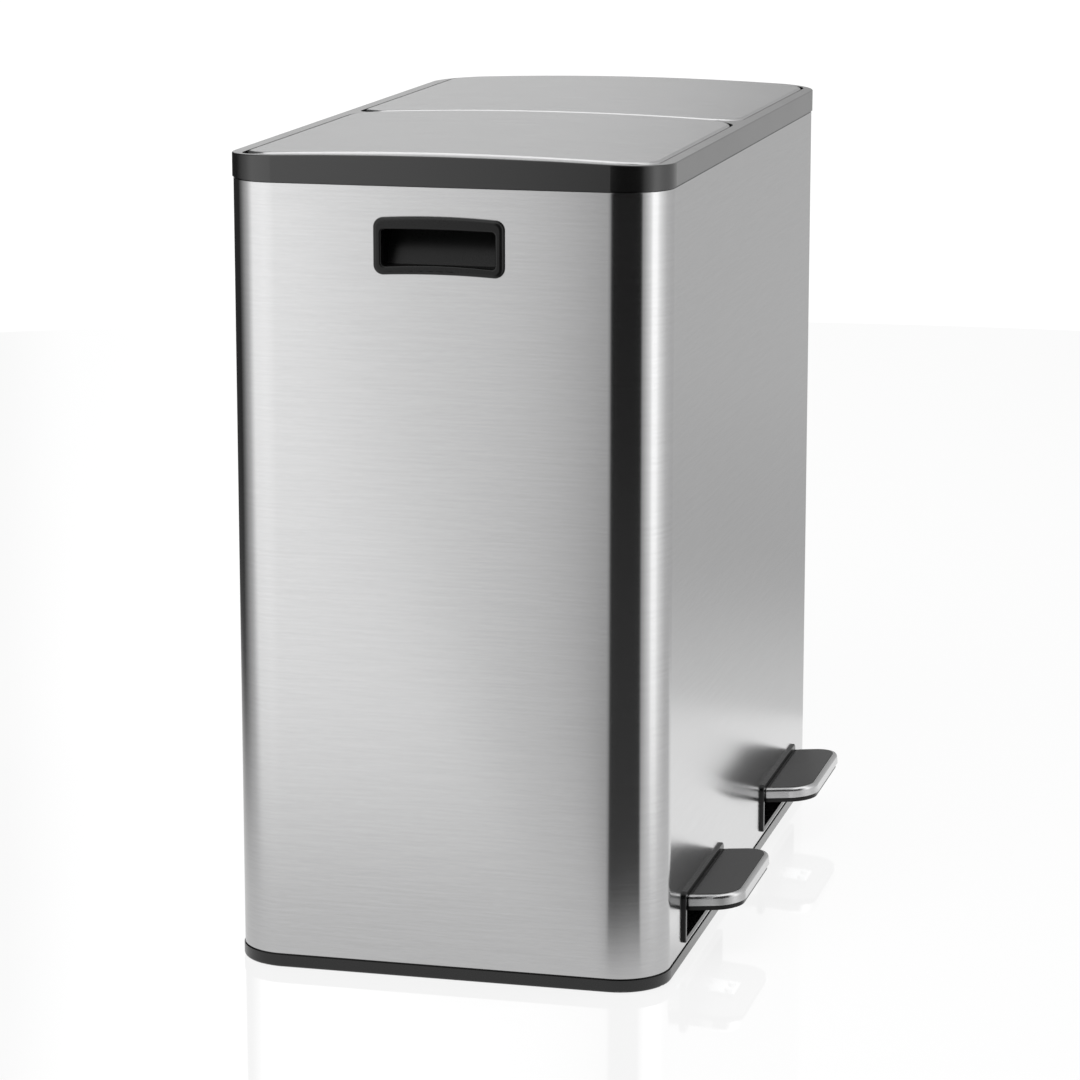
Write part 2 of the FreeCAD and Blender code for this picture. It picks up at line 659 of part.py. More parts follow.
# --- crank, rod head and push rod -----------------------------------------------------------------
def make_crank():
    """The steel crank of a lid: a flange on the liner's plate and an arm down to the pin's eye."""
    x0 = drive_x - CRANK_THICKNESS / 2
    x1 = drive_x + CRANK_THICKNESS / 2
    near = hinge_y - CRANK_FLANGE_FROM_AXIS
    far = near - CRANK_FLANGE_LENGTH
    low = liner_bottom + LINER_WALL
    high = low + CRANK_FLANGE_THICKNESS
    arm = side_profile([(far, high), (near, high), (near, liner_bottom), (pin_y + CRANK_EYE, pin_z),
                        (pin_y - CRANK_EYE, pin_z), (far, liner_bottom)], x0, x1)
    eye = rod_x(x0, x1, pin_y, pin_z, CRANK_EYE)
    flange = box(drive_x, drive_x + CRANK_FLANGE_WIDTH, far, near, low, high)
    crank = arm.fuse([eye, flange])
    crank = crank.cut(rod_x(x0 - CUT_PAST, x1 + CUT_PAST, pin_y, pin_z,
                            CRANK_PIN_RADIUS + FIXED_PIN_GAP))
    for x, y in crank_screw_places():
        crank = crank.cut(rod_z(x, y, liner_bottom, high + CUT_PAST, SCREW_RADIUS + FIXED_PIN_GAP))
    return crank.removeSplitter()


def make_crank_pin():
    """The pin in the crank's eye, out to the outer faces of the rod head."""
    half = rod_head_half_width()
    return rod_x(drive_x - half, drive_x + half, pin_y, pin_z, CRANK_PIN_RADIUS)


def make_crank_screws():
    """The screws that hold the crank to the liner."""
    screws = []
    shank_top = liner_bottom + LINER_WALL + CRANK_FLANGE_THICKNESS
    for x, y in crank_screw_places():
        head = rod_z(x, y, liner_bottom - SCREW_HEAD, liner_bottom, SCREW_HEAD_RADIUS)
        screws.append(head.fuse(rod_z(x, y, liner_bottom, shank_top, SCREW_RADIUS)))
    return Part.makeCompound(screws)


head_slot_half = CRANK_PIN_RADIUS + HEAD_SLOT_RISE
head_bridge_top = pin_z - CRANK_EYE - 2 * HEAD_SLOT_RISE
head_bottom = head_bridge_top - HEAD_BRIDGE
rod_top = head_bridge_top - HEAD_BRIDGE / 3


def make_rod_head():
    """The moulded fork on a push rod: two cheeks with a level slot for the crank pin."""
    slot_y = rod_head_size()
    half = rod_head_half_width()
    outer_y = (slot_y[0] - HEAD_SLOT_WALL, slot_y[1] + HEAD_SLOT_WALL)
    top = pin_z + head_slot_half + HEAD_SLOT_WALL
    head = box(drive_x - half, drive_x + half, outer_y[0], outer_y[1], head_bottom, top)
    fork = CRANK_THICKNESS / 2 + HEAD_FORK_GAP
    head = head.cut(box(drive_x - fork, drive_x + fork, outer_y[0] - CUT_PAST, outer_y[1] + CUT_PAST,
                        head_bridge_top, top + CUT_PAST))
    head = head.cut(box(drive_x - half - CUT_PAST, drive_x + half + CUT_PAST, slot_y[0], slot_y[1],
                        pin_z - head_slot_half, pin_z + head_slot_half))
    return head.cut(rod_z(drive_x, rod_y, head_bottom - CUT_PAST, rod_top, ROD_RADIUS + FIXED_PIN_GAP))


def foot_centre_height():
    """Height of the round foot's centre, a moving gap above the tilted lever."""
    tilt = math.radians(PEDAL_REST_TILT)
    clear = LEVER_TOP_ABOVE_AXLE + ROD_FOOT_RADIUS + MOVING_GAP
    return AXLE_HEIGHT + (clear - (rod_y - axle_y) * math.sin(tilt)) / math.cos(tilt)


def make_push_rod():
    """The steel push rod."""
    return rod_z(drive_x, rod_y, foot_centre_height(), rod_top, ROD_RADIUS)


def make_rod_foot():
    """The moulded foot of a push rod, round below."""
    centre = foot_centre_height()
    ball = Part.makeSphere(ROD_FOOT_RADIUS, Vector(drive_x, rod_y, centre))
    sleeve = rod_z(drive_x, rod_y, centre, centre + ROD_FOOT_HEIGHT - ROD_FOOT_RADIUS, ROD_FOOT_RADIUS)
    foot = ball.fuse(sleeve)
    return foot.cut(rod_z(drive_x, rod_y, centre, centre + ROD_FOOT_HEIGHT, ROD_RADIUS + FIXED_PIN_GAP))


def make_guides():
    """Flanged bushes in the floor panel, one for each push rod."""
    bush = rod_z(drive_x, rod_y, FLOOR_HEIGHT, floor_top, GUIDE_RADIUS)
    bush = bush.fuse(rod_z(drive_x, rod_y, floor_top, floor_top + GUIDE_FLANGE, GUIDE_FLANGE_RADIUS))
    bush = bush.cut(rod_z(drive_x, rod_y, FLOOR_HEIGHT - CUT_PAST, floor_top + CUT_PAST,
                          ROD_RADIUS + RUNNING_GAP))
    return both_sides([bush])


def make_rod_cover():
    """The channel that keeps a bucket off its push rod, open towards the back wall."""
    half = ROD_COVER_WIDTH / 2
    front = throat_back_y
    back = back_y - SHEET
    high = shell_top - ROD_COVER_TOP_GAP
    cover = box(drive_x - half, drive_x + half, front, back, floor_top, high)
    inner = half - ROD_COVER_WALL
    cover = cover.cut(box(drive_x - inner, drive_x + inner, front + ROD_COVER_WALL, back + CUT_PAST,
                          floor_top - CUT_PAST, high + CUT_PAST))
    upstand_front = back - MOVING_GAP - FLOOR_UPSTAND_WALL - FIT_GAP
    return cover.cut(box(drive_x - half, drive_x + half, upstand_front, back, floor_top,
                         floor_top + FLOOR_UPSTAND + FIT_GAP))


# --- pedal, lever and bracket (drawn level, then tilted to rest) ----------------------------------
lever_top = AXLE_HEIGHT + LEVER_TOP_ABOVE_AXLE
pedal_top = lever_top + PEDAL_UNDERSIDE + PEDAL_BAND
band_low_above_axle = pedal_top - PEDAL_BAND - AXLE_HEIGHT
rest_sine = math.sin(math.radians(PEDAL_REST_TILT))
rest_cosine = math.cos(math.radians(PEDAL_REST_TILT))
pedal_front_y = axle_y - (AXLE_BEHIND_WALL + PEDAL_REACH + band_low_above_axle * rest_sine) / rest_cosine
pedal_back_y = front_y - PEDAL_FROM_WALL
pad_back_y = front_y - PAD_FROM_WALL


def pedal_prism(inset, back_inset, z0, z1):
    """The pedal's plan, drawn in by inset (back edge by back_inset), carried from z0 to z1."""
    x0 = drive_x - PEDAL_WIDTH / 2 + inset
    x1 = drive_x + PEDAL_WIDTH / 2 - inset
    back = pedal_back_y - back_inset
    front = pedal_front_y + inset
    radius = PEDAL_CORNER - inset
    corners = [(Vector(x0, front, z0), radius), (Vector(x1, front, z0), radius),
               (Vector(x1, back, z0), PEDAL_EDGE), (Vector(x0, back, z0), PEDAL_EDGE)]
    return Part.Face(rounded_wire(corners)).extrude(Vector(0, 0, z1 - z0))


def behind_pedal(y, z0, z1):
    """A block over the pedal's full width and more, from the plane y back into the body."""
    half = PEDAL_WIDTH / 2 + CUT_PAST
    return box(drive_x - half, drive_x + half, y, front_y, z0, z1)


def make_tread():
    """The steel tread: a band with a rolled top edge round the sides and front, open at the back."""
    low = pedal_top - PEDAL_BAND
    past = -PEDAL_FROM_WALL
    tread = fillet_top(pedal_prism(0, past, low, pedal_top), PEDAL_EDGE)
    hollow = pedal_prism(PEDAL_SHEET, 2 * past, low - CUT_PAST, pedal_top - PEDAL_SHEET)
    tread = tread.cut(fillet_top(hollow, PEDAL_EDGE - PEDAL_SHEET))
    tread = tread.cut(pedal_prism(PEDAL_BORDER, 2 * past, pedal_top - 2 * PEDAL_SHEET,
                                  pedal_top + CUT_PAST))
    return tread.cut(behind_pedal(pedal_back_y, low - CUT_PAST, pedal_top + CUT_PAST))


def make_pad():
    """The pad in the tread's opening, up to the plastic strip along the wall."""
    low = pedal_top - PEDAL_SHEET
    high = pedal_top + PAD_STANDS_PROUD
    pad = pedal_prism(PEDAL_BORDER + PAD_GAP, 0, low, high)
    return pad.cut(behind_pedal(pad_back_y, low - CUT_PAST, high + CUT_PAST))


def pedal_screw_places():
    """Plan positions of the screws that hold the lever to the pedal's core."""
    half = LEVER_WIDTH / 4
    first = pedal_back_y - LEVER_FRONT_MARGIN / 4
    second = pedal_front_y + LEVER_FRONT_MARGIN + 2 * SCREW_HEAD_RADIUS
    return [(drive_x + side * half, y) for side in (-1, 1) for y in (first, second)]


def make_core():
    """The moulded core: tread filling, strip behind the pad, underside lip and wall neck."""
    inset = PEDAL_SHEET + FIT_GAP
    band_low = pedal_top - PEDAL_BAND
    filling_top = pedal_top - PEDAL_SHEET
    core = fillet_top(pedal_prism(inset, -PEDAL_FROM_WALL, band_low, filling_top), PEDAL_EDGE - inset)
    core = core.cut(behind_pedal(pedal_back_y, band_low - CUT_PAST, pedal_top))
    core = core.fuse(pedal_prism(PEDAL_UNDERSIDE_INSET, 0, lever_top, band_low))
    strip_half = PEDAL_WIDTH / 2 - PEDAL_BORDER - PAD_GAP
    strip_y = (pad_back_y + PAD_GAP, pedal_back_y)
    strip = box(drive_x - strip_half, drive_x + strip_half, strip_y[0], strip_y[1],
                filling_top - PEDAL_SHEET, pedal_top)
    groove_y = (strip_y[0] + strip_y[1]) / 2
    strip = strip.cut(box(drive_x - strip_half, drive_x + strip_half, groove_y,
                          groove_y + STRIP_GROOVE_WIDTH, pedal_top - STRIP_GROOVE_DEPTH, pedal_top))
    neck = box(drive_x - NECK_WIDTH / 2, drive_x + NECK_WIDTH / 2, pedal_back_y - PEDAL_EDGE,
               front_y + NECK_INSIDE, lever_top, pedal_top - NECK_DROP)
    core = core.fuse([strip, neck])
    for x, y in pedal_screw_places():
        core = core.cut(rod_z(x, y, lever_top - CUT_PAST, lever_top + PEDAL_BAND,
                              SCREW_RADIUS + FIXED_PIN_GAP))
    return core.removeSplitter()


def make_lever():
    """The steel lever: a flat tongue under the pedal and a channel back to the push rod."""
    tip_y = rod_y + LEVER_PAST_ROD
    tongue_y = pedal_front_y + LEVER_FRONT_MARGIN
    channel_y = front_y + NECK_INSIDE
    half = LEVER_WIDTH / 2
    channel = side_profile([
        (channel_y, lever_top), (channel_y, lever_top - LEVER_TIP_DEPTH),
        (axle_y - EAR_RADIUS, lever_top - LEVER_DEPTH), (axle_y + EAR_RADIUS, lever_top - LEVER_DEPTH),
        (tip_y, lever_top - LEVER_TIP_DEPTH), (tip_y, lever_top),
    ], drive_x - half, drive_x + half)
    channel = channel.cut(box(drive_x - half + LEVER_SHEET, drive_x + half - LEVER_SHEET,
                              channel_y - CUT_PAST, tip_y + CUT_PAST,
                              lever_top - LEVER_DEPTH - CUT_PAST, lever_top - LEVER_SHEET))
    tongue = box(drive_x - half, drive_x + half, tongue_y, channel_y + CUT_PAST,
                 lever_top - LEVER_SHEET, lever_top)
    lever = channel.fuse(tongue)
    lever = lever.cut(rod_x(drive_x - half - CUT_PAST, drive_x + half + CUT_PAST, axle_y, AXLE_HEIGHT,
                            AXLE_RADIUS + RUNNING_GAP))
    for x, y in pedal_screw_places():
        lever = lever.cut(rod_z(x, y, lever_top - CUT_PAST, lever_top + CUT_PAST,
                                SCREW_RADIUS + FIXED_PIN_GAP))
    return lever.removeSplitter()


def make_pedal_screws():
    """The screws that hold the lever to the pedal's core."""
    screws = []
    low = lever_top - LEVER_SHEET
    for x, y in pedal_screw_places():
        head = rod_z(x, y, low - SCREW_HEAD, low, SCREW_HEAD_RADIUS)
        screws.append(head.fuse(rod_z(x, y, low, lever_top + PEDAL_BAND - SCREW_HEAD, SCREW_RADIUS)))
    return Part.makeCompound(screws)


def ear_range(side):
    """X range of the bracket's ear on one side (-1 or 1) of the lever."""
    inner = LEVER_WIDTH / 2 + EAR_GAP
    ends = sorted((drive_x + side * inner, drive_x + side * (inner + EAR_SHEET)))
    return ends[0], ends[1]


def make_bracket():
    """The steel bracket on the base: a foot plate and two ears that carry the axle."""
    half = LEVER_WIDTH / 2 + EAR_GAP + EAR_SHEET + BRACKET_FLANGE
    plate_top = base_floor_top + EAR_SHEET
    bracket = box(drive_x - half, drive_x + half, axle_y - BRACKET_LENGTH / 2,
                  axle_y + BRACKET_LENGTH / 2, base_floor_top, plate_top)
    for side in (-1, 1):
        x0, x1 = ear_range(side)
        ear = side_profile([
            (axle_y - 2 * EAR_RADIUS, base_floor_top),
            (axle_y + 2 * EAR_RADIUS, base_floor_top),
            (axle_y + EAR_RADIUS, AXLE_HEIGHT),
            (axle_y - EAR_RADIUS, AXLE_HEIGHT),
        ], x0, x1)
        bracket = bracket.fuse([ear, rod_x(x0, x1, axle_y, AXLE_HEIGHT, EAR_RADIUS)])
    bracket = bracket.cut(rod_x(drive_x - half, drive_x + half, axle_y, AXLE_HEIGHT,
                                AXLE_RADIUS + FIXED_PIN_GAP))
    for x, y in rivet_places():
        bracket = bracket.cut(rod_z(x, y, base_bottom, plate_top + CUT_PAST,
                                    RIVET_RADIUS + FIXED_PIN_GAP))
    return bracket.removeSplitter()


def axle_half_length():
    """Half of the axle's length, out past its clips."""
    return LEVER_WIDTH / 2 + EAR_GAP + EAR_SHEET + FIT_GAP + 2 * CLIP_THICKNESS


def make_axle():
    """The axle of one lever."""
    half = axle_half_length()
    return rod_x(drive_x - half, drive_x + half, axle_y, AXLE_HEIGHT, AXLE_RADIUS)


def make_clips():
    """The rings that keep the axles in their brackets."""
    clips = []
    for side in (-1, 1):
        near = LEVER_WIDTH / 2 + EAR_GAP + EAR_SHEET + FIT_GAP
        ends = sorted((drive_x + side * near, drive_x + side * (near + CLIP_THICKNESS)))
        ring = rod_x(ends[0], ends[1], axle_y, AXLE_HEIGHT, CLIP_RADIUS)
        clips.append(ring.cut(rod_x(ends[0] - CUT_PAST, ends[1] + CUT_PAST, axle_y, AXLE_HEIGHT,
                                    AXLE_RADIUS + FIXED_PIN_GAP)))
    return both_sides(clips)


def make_rivets():
    """The rivets that hold the brackets to the base."""
    rivets = []
    plate_top = base_floor_top + EAR_SHEET
    for x, y in rivet_places():
        low_head = rod_z(x, y, base_bottom, base_bottom + RIVET_HEAD, RIVET_HEAD_RADIUS)
        shank = rod_z(x, y, base_bottom, plate_top + RIVET_HEAD, RIVET_RADIUS)
        high_head = rod_z(x, y, plate_top, plate_top + RIVET_HEAD, RIVET_HEAD_RADIUS)
        rivets.append(low_head.fuse([shank, high_head]).removeSplitter())
    return both_sides(rivets)


# --- bezel and handle -----------------------------------------------------------------------------
def make_bezel():
    """The frame round a pedal slot: a flange on the steel and a collar through it."""
    face_y = front_y - BEZEL_PROUD
    flange = front_opening(BEZEL_BORDER, face_y, front_y)
    outer_face = min(flange.Faces, key=lambda face: face.CenterOfMass.y)
    flange = flange.makeFillet(BEZEL_EDGE, outer_face.OuterWire.Edges)
    bezel = flange.fuse(front_opening(BEZEL_COLLAR_WALL, front_y, front_y + BEZEL_COLLAR))
    return bezel.cut(front_opening(0, face_y - CUT_PAST, front_y + BEZEL_COLLAR + CUT_PAST))


def make_handle():
    """The grab cup in an end wall: a raised frame outside, a slanted cup inside."""
    face_x = end_x - HANDLE_PROUD
    frame = handle_outline(face_x, 0).extrude(Vector(HANDLE_PROUD, 0, 0))
    outer_face = min(frame.Faces, key=lambda face: face.CenterOfMass.x)
    frame = frame.makeFillet(HANDLE_EDGE, outer_face.OuterWire.Edges)
    cup_half = HANDLE_WIDTH / 2 - HANDLE_SIDE_BORDER
    cup_y = (centre_y - cup_half, centre_y + cup_half)
    cup_low = handle_bottom + HANDLE_BOTTOM_BORDER
    cup_high = handle_top - HANDLE_FLANGE_LAP - CUP_WALL
    opening_high = handle_top - HANDLE_TOP_BORDER

    def slanted(grow, front):
        """The cup's space from the plane x = front, grown by grow."""
        points = [(front, cup_low - grow), (end_x + CUP_DEPTH_LOW + grow, cup_low - grow),
                  (end_x + CUP_DEPTH_HIGH + grow, cup_high + grow), (front, cup_high + grow)]
        wire = Part.makePolygon([Vector(x, cup_y[0] - grow, z) for x, z in points + points[:1]])
        return Part.Face(wire).extrude(Vector(0, cup_y[1] - cup_y[0] + 2 * grow, 0))

    sleeve = handle_outline(end_x, -HANDLE_FLANGE_LAP).extrude(Vector(2 * CUP_DEPTH_HIGH, 0, 0))
    cup = slanted(CUP_WALL, end_x).common(sleeve).cut(slanted(0, end_x + SHEET))
    depth = HANDLE_PROUD + SHEET + CUT_PAST
    opening = arched_outline(face_x, cup_half, cup_low, opening_high, HANDLE_OPENING_CORNER,
                             HANDLE_OPENING_BOTTOM_ARCH, HANDLE_OPENING_TOP_ARCH)
    handle = frame.fuse(cup).cut(opening.extrude(Vector(depth, 0, 0))).removeSplitter()
    face = min(handle.Faces, key=lambda face: face.CenterOfMass.x)
    inner_wire = min(face.Wires, key=lambda wire: wire.Length)
    return handle.makeFillet(HANDLE_INNER_EDGE, inner_wire.Edges)


# --- floor panel ----------------------------------------------------------------------------------
def post_head_top():
    """Height of the top of a floor screw's head, inside the base's counterbore."""
    return base_bottom + POST_SCREW_HEAD + FIT_GAP


def make_floor():
    """The panel the buckets stand on: plate, upstand, ribs, and posts down to the base."""
    inset = SHEET + MOVING_GAP
    panel = body_prism(inset, FLOOR_HEIGHT, floor_top + FLOOR_UPSTAND)
    panel = panel.cut(body_prism(inset + FLOOR_UPSTAND_WALL, floor_top, floor_top + 2 * FLOOR_UPSTAND))
    post_low = base_floor_top + POST_BOSS
    solids = [rod_z(x, y, post_low, FLOOR_HEIGHT, POST_RADIUS) for x, y in post_places()]
    rib_y = (front_y + inset + FLOOR_UPSTAND_WALL, back_y - inset - FLOOR_UPSTAND_WALL)
    first_rib = end_x + 2 * POST_INSET
    solids.append(box(first_rib, first_rib + FLOOR_RIB_WALL, rib_y[0], rib_y[1],
                      FLOOR_HEIGHT - FLOOR_RIB_DEPTH, FLOOR_HEIGHT))
    second_rib = drive_x / 2
    solids.append(box(second_rib, second_rib + FLOOR_RIB_WALL, rib_y[0], rib_y[1],
                      FLOOR_HEIGHT - FLOOR_RIB_DEPTH, FLOOR_HEIGHT))
    middle = [rod_z(x, y, post_low, FLOOR_HEIGHT, POST_RADIUS) for x, y in middle_post_places()]
    panel = panel.fuse(solids + [mirrored(solid) for solid in solids] + middle)
    cutters = [rod_z(x, y, post_low - CUT_PAST, post_low + POST_SCREW_LENGTH,
                     POST_SCREW_RADIUS + FIXED_PIN_GAP)
               for x, y in post_places() + middle_post_places()]
    cutters.append(rod_z(drive_x, rod_y, FLOOR_HEIGHT - CUT_PAST, floor_top + CUT_PAST,
                         GUIDE_RADIUS + FIXED_PIN_GAP))
    for cutter in cutters:
        panel = panel.cut(cutter).cut(mirrored(cutter))
    return panel.removeSplitter()


def make_floor_screws():
    """The screws that hold the floor panel's posts to the base."""
    def screw(x, y):
        head_top = post_head_top()
        head = rod_z(x, y, head_top - POST_SCREW_HEAD, head_top, POST_SCREW_HEAD_RADIUS)
        return head.fuse(rod_z(x, y, head_top, head_top + POST_SCREW_LENGTH, POST_SCREW_RADIUS))

    outer = [screw(x, y) for x, y in post_places()]
    return Part.makeCompound(outer + [mirrored(item) for item in outer]
                             + [screw(x, y) for x, y in middle_post_places()])


# --- buckets --------------------------------------------------------------------------------------
def bucket_loft(inset, z0, z1, taper_from):
    """A tapered block: the bucket's plan drawn in by inset, narrowing below taper_from."""
    height = taper_from - bucket_bottom()
    x0 = throat_x[0] + BUCKET_SIDE_GAP + BUCKET_FLANGE
    x1 = throat_x[1] - BUCKET_SIDE_GAP - BUCKET_FLANGE
    y0 = throat_y[0] + BUCKET_SIDE_GAP + BUCKET_FLANGE
    y1 = throat_y[1] - BUCKET_SIDE_GAP - BUCKET_FLANGE
    wires = []
    for z in (z0, z1):
        narrow = inset + BUCKET_TAPER * (taper_from - z) / height
        radius = BUCKET_CORNER - BUCKET_FLANGE - narrow / 2
        wires.append(rectangle_wire(x0 + narrow, x1 - narrow, y0 + narrow, y1 - narrow, z, radius))
    return Part.makeLoft(wires, True, True)


def bucket_bottom():
    """Height of a bucket's underside, a moving gap above the floor panel."""
    return floor_top + MOVING_GAP


def make_bucket():
    """A lift-out bucket: tapered walls, a turned-down flange and a finger grip at each end."""
    bottom = bucket_bottom()
    top = liner_bottom - BUCKET_TOP_BELOW_LID
    wall = bucket_loft(0, bottom, top, top)
    flange_x = (throat_x[0] + BUCKET_SIDE_GAP, throat_x[1] - BUCKET_SIDE_GAP)
    flange_y = (throat_y[0] + BUCKET_SIDE_GAP, throat_y[1] - BUCKET_SIDE_GAP)
    flange = prism(flange_x, flange_y, top - BUCKET_FLANGE_LIP, top, BUCKET_CORNER)
    flange = flange.cut(prism(flange_x, flange_y, top - BUCKET_FLANGE_LIP - CUT_PAST,
                              top - BUCKET_FLANGE_THICKNESS, BUCKET_CORNER, BUCKET_WALL))
    bucket = wall.fuse(flange)
    bucket = bucket.cut(bucket_loft(BUCKET_WALL, bottom + BUCKET_FLOOR, top + CUT_PAST, top))
    middle_y = (flange_y[0] + flange_y[1]) / 2
    grip_top = top - GRIP_BELOW_FLANGE
    points = [Vector(flange_x[0] - CUT_PAST, middle_y + dy * GRIP_WIDTH / 2, grip_top - dz * GRIP_HEIGHT)
              for dy, dz in ((-1, 1), (1, 1), (1, 0), (-1, 0))]
    grip_wire = rounded_wire([(point, GRIP_HEIGHT / 3) for point in points])
    reach = flange_x[1] - flange_x[0] + 2 * CUT_PAST
    bucket = bucket.cut(Part.Face(grip_wire).extrude(Vector(reach, 0, 0)))
    return bucket.removeSplitter()


# --- build ----------------------------------------------------------------------------------------
def main():
    """Makes every piece and writes it to parts/."""
    os.makedirs("parts", exist_ok=True)
    save(make_shell(), "steel_shell")
    save(make_base(), "base_tray")
    save(make_feet(), "base_feet")
    save(make_rim(), "top_rim")
    save(make_floor(), "floor_panel")
    save(make_floor_screws(), "floor_screws")
    save(make_guides(), "rod_guides")
    save(make_clips(), "axle_clips")
    save(make_rivets(), "bracket_rivets")
    save_pair(make_handle(), "end_handle")
    save_pair(make_bezel(), "pedal_bezel")
    save_pair(make_rod_cover(), "rod_cover")
    save_pair(make_bracket(), "lever_bracket")
    save_pair(make_axle(), "lever_axle")
    save_pair(make_hinge_pins(), "hinge_pins")
    save_pair(make_lid_skin(), "lid_skin")
    save_pair(make_lid_liner(), "lid_liner")
    save_pair(make_bumpers(), "lid_bumpers")
    save_pair(make_crank(), "lid_crank")
    save_pair(make_crank_pin(), "crank_pin")
    save_pair(make_crank_screws(), "crank_screws")
    save_pair(make_push_rod(), "push_rod")
    save_pair(make_rod_head(), "rod_head")
    save_pair(make_rod_foot(), "rod_foot")
    save_pair(tilted(make_tread()), "pedal_tread")
    save_pair(tilted(make_pad()), "pedal_pad")
    save_pair(tilted(make_core()), "pedal_core")
    save_pair(tilted(make_lever()), "pedal_lever")
    save_pair(tilted(make_pedal_screws()), "pedal_screws")
    save_pair(make_bucket(), "bucket")


main()
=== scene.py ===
"""Double recycling bin: finishes for its steel, plastic and rubber, a white studio and a camera.

Everything is in metres in the model's own frame: +X along the bin, -Y the pedal side, +Z up.
"""

import json
import math

import bmesh
import bpy
import numpy as np
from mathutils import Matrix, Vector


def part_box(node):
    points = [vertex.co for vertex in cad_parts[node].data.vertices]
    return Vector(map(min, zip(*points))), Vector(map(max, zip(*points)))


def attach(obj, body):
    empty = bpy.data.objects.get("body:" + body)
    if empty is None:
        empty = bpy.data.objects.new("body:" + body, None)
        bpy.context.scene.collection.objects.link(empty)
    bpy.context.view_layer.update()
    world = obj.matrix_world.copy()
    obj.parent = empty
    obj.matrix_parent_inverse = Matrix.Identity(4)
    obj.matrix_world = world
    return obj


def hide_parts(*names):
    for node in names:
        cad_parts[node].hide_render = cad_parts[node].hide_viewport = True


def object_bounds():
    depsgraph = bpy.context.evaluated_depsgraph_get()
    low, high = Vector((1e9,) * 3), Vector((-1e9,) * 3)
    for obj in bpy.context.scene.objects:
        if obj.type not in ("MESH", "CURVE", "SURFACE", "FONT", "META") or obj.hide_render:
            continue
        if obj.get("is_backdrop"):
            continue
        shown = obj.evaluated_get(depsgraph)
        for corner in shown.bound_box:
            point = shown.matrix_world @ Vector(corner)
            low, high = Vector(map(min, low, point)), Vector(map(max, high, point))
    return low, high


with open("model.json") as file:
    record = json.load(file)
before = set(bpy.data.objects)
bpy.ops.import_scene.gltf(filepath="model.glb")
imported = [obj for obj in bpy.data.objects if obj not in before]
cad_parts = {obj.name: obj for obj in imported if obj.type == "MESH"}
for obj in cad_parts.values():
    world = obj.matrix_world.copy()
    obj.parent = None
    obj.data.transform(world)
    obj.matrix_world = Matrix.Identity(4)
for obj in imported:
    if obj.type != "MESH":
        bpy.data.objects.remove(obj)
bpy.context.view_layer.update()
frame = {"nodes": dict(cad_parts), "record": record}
nodes = frame["nodes"]


# --- node trees -----------------------------------------------------------------------------------
class Finish:
    """A material whose node tree is built up call by call."""

    def __init__(self, name):
        self.material = bpy.data.materials.new(name)
        self.material.use_nodes = True
        self.tree = self.material.node_tree
        self.tree.nodes.clear()
        self.output = self.tree.nodes.new("ShaderNodeOutputMaterial")

    def node(self, kind, inputs=None, **settings):
        """Adds a node, sets its properties, and sets or links its inputs."""
        made = self.tree.nodes.new(kind)
        for key, value in settings.items():
            setattr(made, key, value)
        for key, value in (inputs or {}).items():
            if isinstance(value, bpy.types.NodeSocket):
                self.tree.links.new(value, made.inputs[key])
            else:
                made.inputs[key].default_value = value
        return made

    def place(self, scale):
        """Object coordinates stretched by scale, one factor for each axis."""
        coords = self.node("ShaderNodeTexCoord").outputs["Object"]
        return self.node("ShaderNodeMapping", {"Vector": coords, "Scale": scale}).outputs["Vector"]

    def noise(self, scale, detail=3.0, roughness=0.5, distortion=0.0):
        """A noise pattern of 0 to 1 whose grains are about 1/scale metres along each axis."""
        return self.node("ShaderNodeTexNoise", {
            "Vector": self.place(scale), "Scale": 1.0, "Detail": detail,
            "Roughness": roughness, "Distortion": distortion}).outputs["Fac"]

    def span(self, value, low, high, start=0.3, end=0.7):
        """Carries value from the range start..end to the range low..high."""
        return self.node("ShaderNodeMapRange", {
            "Value": value, "From Min": start, "From Max": end,
            "To Min": low, "To Max": high}).outputs["Result"]

    def add(self, first, second):
        return self.node("ShaderNodeMath", {0: first, 1: second}, operation="ADD").outputs[0]

    def tint(self, fac, dark, light):
        """A colour between dark and light, chosen by fac."""
        return self.node("ShaderNodeMix", {"Factor": fac, "A": (*dark, 1), "B": (*light, 1)},
                         data_type="RGBA", clamp_factor=True).outputs[2]

    def bump(self, height, depth):
        """A bump of depth metres."""
        return self.node("ShaderNodeBump", {
            "Height": height, "Distance": depth, "Strength": 1.0}).outputs["Normal"]

    def surface(self, shader):
        self.tree.links.new(shader, self.output.inputs["Surface"])
        return self.material


def grey(value):
    return (value, value, value * 1.005)


